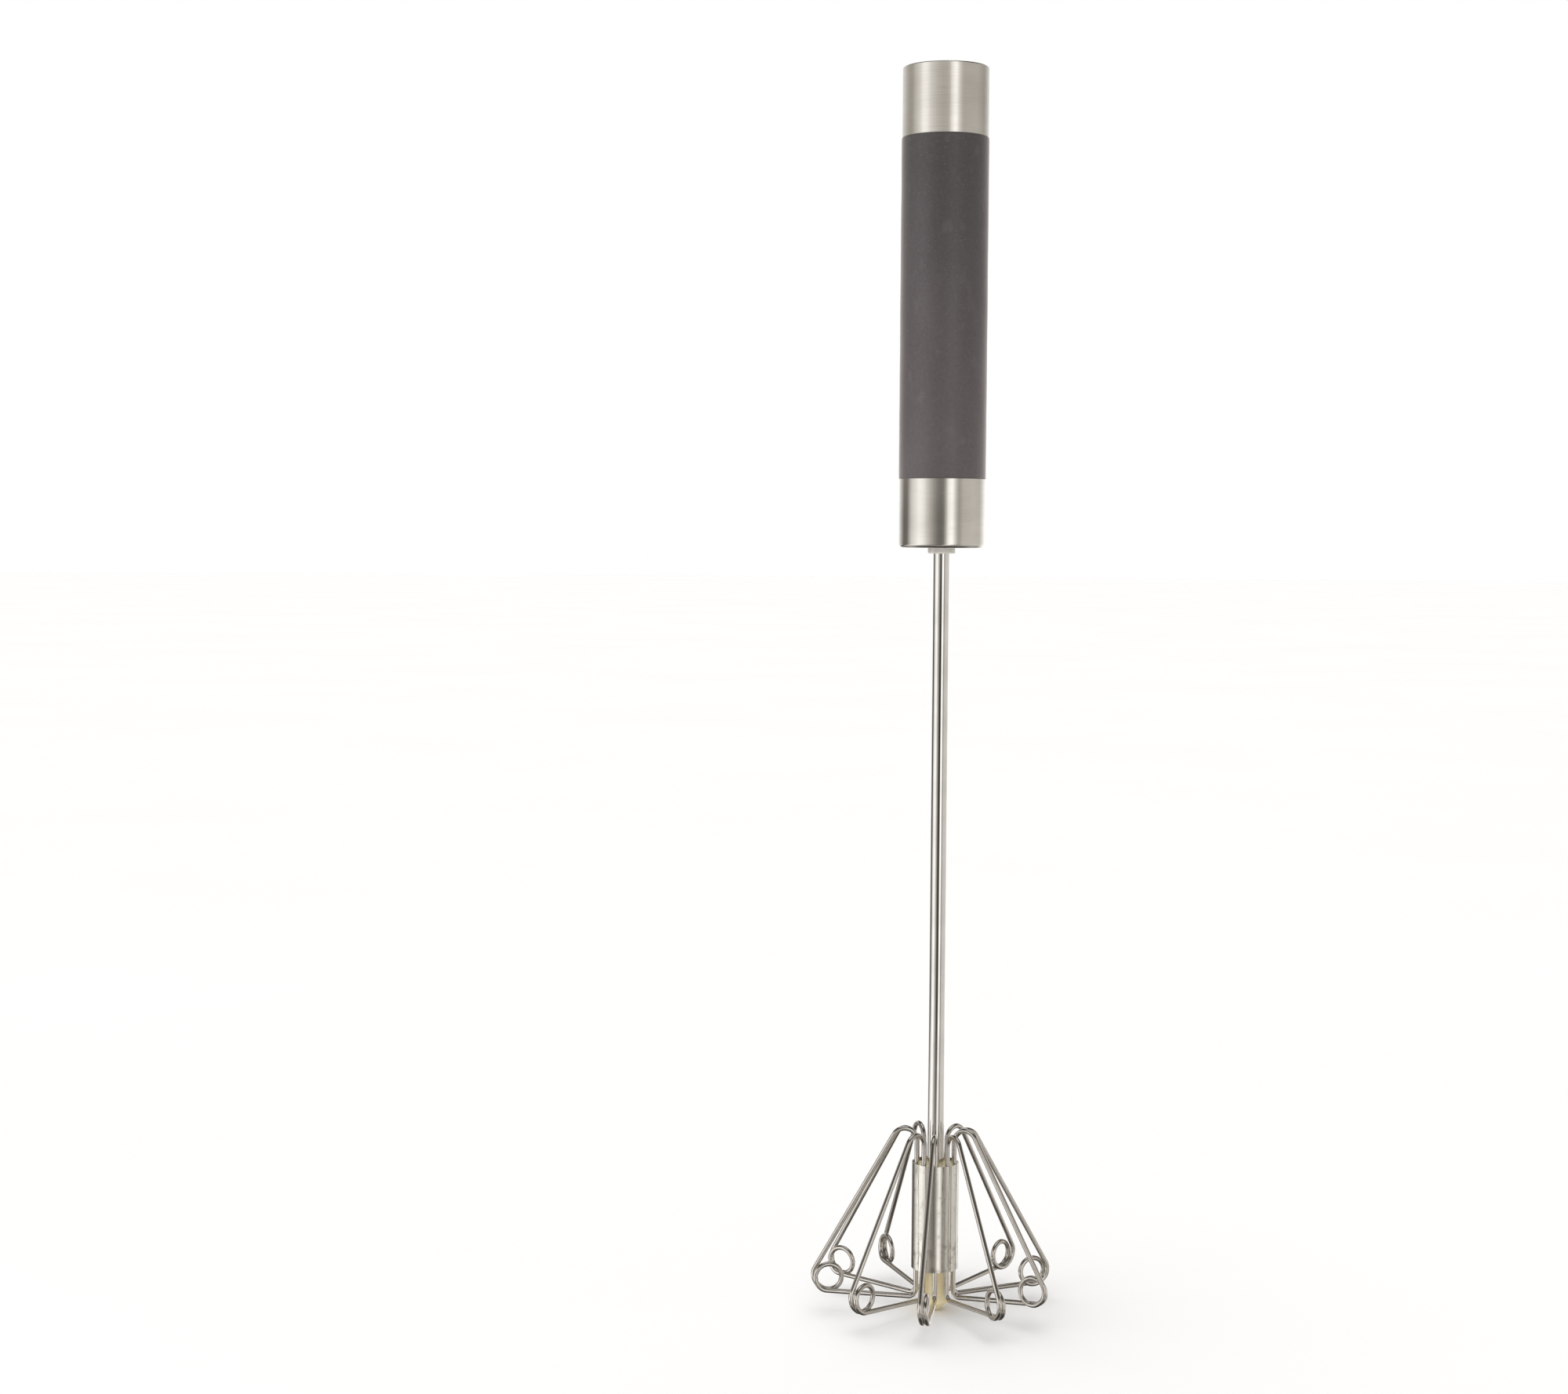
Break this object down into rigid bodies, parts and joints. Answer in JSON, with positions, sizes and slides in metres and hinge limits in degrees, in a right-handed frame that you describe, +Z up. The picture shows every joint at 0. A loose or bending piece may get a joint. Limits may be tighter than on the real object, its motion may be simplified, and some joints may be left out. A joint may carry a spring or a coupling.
{
  "type": "rotary whisk",
  "caption": "Push-down rotary whisk: pressing the rubber-gripped steel handle down its shaft spins a head of coiled steel wires set round a cream plastic hub with a pointed foot.",
  "frame": {"origin": "the tip of the foot, under the hub, where the whisk touches the bowl", "axes": "+Z up the shaft to the top of the handle; -Y is the front"},
  "size_m": [0.0691, 0.0696, 0.35],
  "materials": {
    "cap_steel": "satin, brushed round",
    "grip_rubber": "matt",
    "tube_steel": "plain drawn",
    "plug_nylon": "moulded",
    "bush_plastic": "translucent moulded",
    "strip_steel": "rolled",
    "spring_steel": "oiled",
    "nut_acetal": "moulded",
    "shaft_steel": "polished, drawn lengthwise",
    "core_plastic": "translucent cream, moulded",
    "sleeve_steel": "satin, drawn lengthwise",
    "wire_steel": "bright drawn"
  },
  "bodies": {
    "handle": {"top_cap": "cap_steel", "bottom_cap": "cap_steel", "grip_sleeve": "grip_rubber", "handle_tube": "tube_steel", "top_plug": "plug_nylon", "strip_pin": "strip_steel", "twisted_strip": "strip_steel", "lower_plug": "plug_nylon", "guide_bush": "bush_plastic", "return_spring": "spring_steel"},
    "carrier": {"thrust_washer": "nut_acetal", "spring_seat": "strip_steel"},
    "whisk": {"shaft_tube": "shaft_steel", "drive_nut": "nut_acetal", "hub_core": "core_plastic", "hub_sleeve": "sleeve_steel", "wire_01": "wire_steel", "wire_02": "wire_steel", "wire_03": "wire_steel", "wire_04": "wire_steel", "wire_05": "wire_steel", "wire_06": "wire_steel", "wire_07": "wire_steel", "wire_08": "wire_steel", "wire_09": "wire_steel", "wire_10": "wire_steel"}
  },
  "joints": [
    {"name": "push", "type": "slide", "parent": "handle", "child": "carrier", "axis": [0, 0, 1], "range_m": [0, 0.075], "stiffness_N_per_m": 120, "springref_m": -0.03, "deforming": ["return_spring"]},
    {"name": "spin", "type": "hinge", "parent": "carrier", "child": "whisk", "pos_m": [0, 0, 0.2387], "axis": [0, 0, 1], "range_deg": [0, 1080]}
  ],
  "couplings": [
    {"joint": "spin", "follows": "push", "rad_per_m": 251.33}
  ]
}
